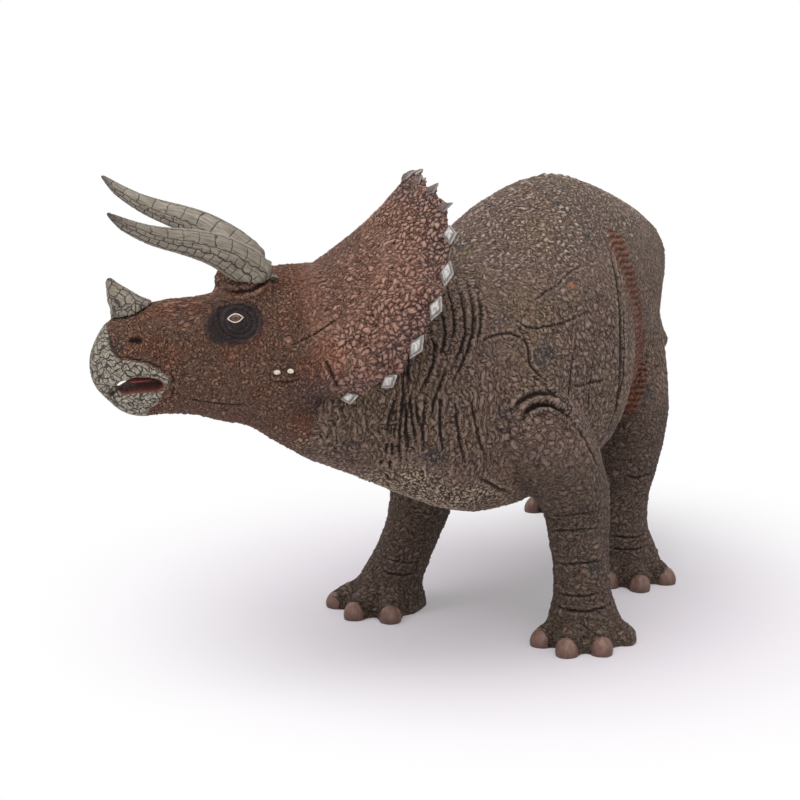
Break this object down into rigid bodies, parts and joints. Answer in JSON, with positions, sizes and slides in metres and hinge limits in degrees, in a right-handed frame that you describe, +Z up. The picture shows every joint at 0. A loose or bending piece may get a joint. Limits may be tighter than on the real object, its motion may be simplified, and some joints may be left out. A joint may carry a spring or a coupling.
{
  "type": "toy dinosaur figure",
  "caption": "Painted plastic figure of a standing three-horned dinosaur with a neck frill, for play or display on a flat surface.",
  "frame": {"origin": "centre of the figure's bounding box on the ground under its feet", "axes": "+Z up, the figure walks towards -Y, its left side is +X"},
  "size_m": [0.107, 0.2212, 0.1063],
  "materials": {
    "skin": "painted PVC, moulded pebble scales and wrinkles, dark wash with dry-brushed highlights",
    "head_skin": "painted PVC, moulded scales, red-brown shading to grey-brown",
    "beak": "painted PVC, grey with fine dark cracks",
    "horn": "painted PVC, grey-green with lengthwise grain and dark cracks",
    "tongue": "painted PVC, dusky pink"
  },
  "bodies": {
    "root": {"torso_left_shell": "skin", "torso_right_shell": "skin", "front_left_leg": "skin", "front_right_leg": "skin", "rear_left_leg": "skin", "rear_right_leg": "skin", "tail": "skin", "head": "head_skin", "lower_jaw": "beak", "brow_horn_left": "horn", "brow_horn_right": "horn", "nose_horn": "horn", "tongue": "tongue"}
  },
  "joints": []
}
